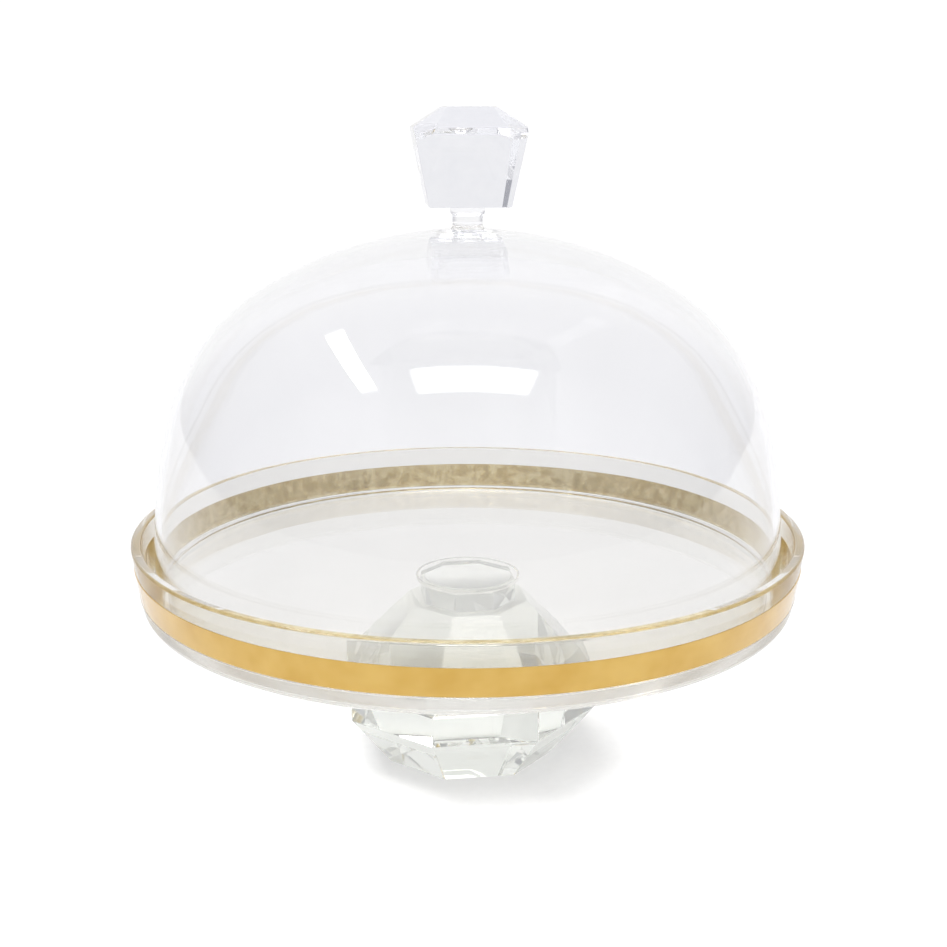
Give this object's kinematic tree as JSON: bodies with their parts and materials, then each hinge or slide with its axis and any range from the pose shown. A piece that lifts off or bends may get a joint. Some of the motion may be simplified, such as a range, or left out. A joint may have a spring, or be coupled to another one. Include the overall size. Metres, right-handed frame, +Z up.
{
  "type": "cake stand with dome",
  "caption": "Footed glass cake stand: faceted crystal base, rimmed plate with a gilt band, and a lift-off glass dome with a faceted crystal knob.",
  "frame": {"origin": "on the table under the centre of the crystal base's foot facet, on the common axis of the plate and the dome", "axes": "+Z up along the common axis; -Y is the front; +X is to the right seen from the front"},
  "size_m": [0.3, 0.3, 0.2922],
  "materials": {
    "crystal": "polished",
    "plate_glass": "polished",
    "dome_glass": "polished",
    "gilt": "satin",
    "glue": "clear"
  },
  "bodies": {
    "stand": {"crystal_base": "crystal", "base_glue": "glue", "cake_plate": "plate_glass", "gilt_band": "gilt"},
    "cover": {"glass_dome": "dome_glass", "dome_stem": "dome_glass", "knob_glue": "glue", "crystal_knob": "crystal"}
  },
  "joints": [
    {"name": "dome_lift", "type": "slide", "parent": "stand", "child": "cover", "axis": [0, 0, 1], "range_m": [0, 0.25]}
  ]
}
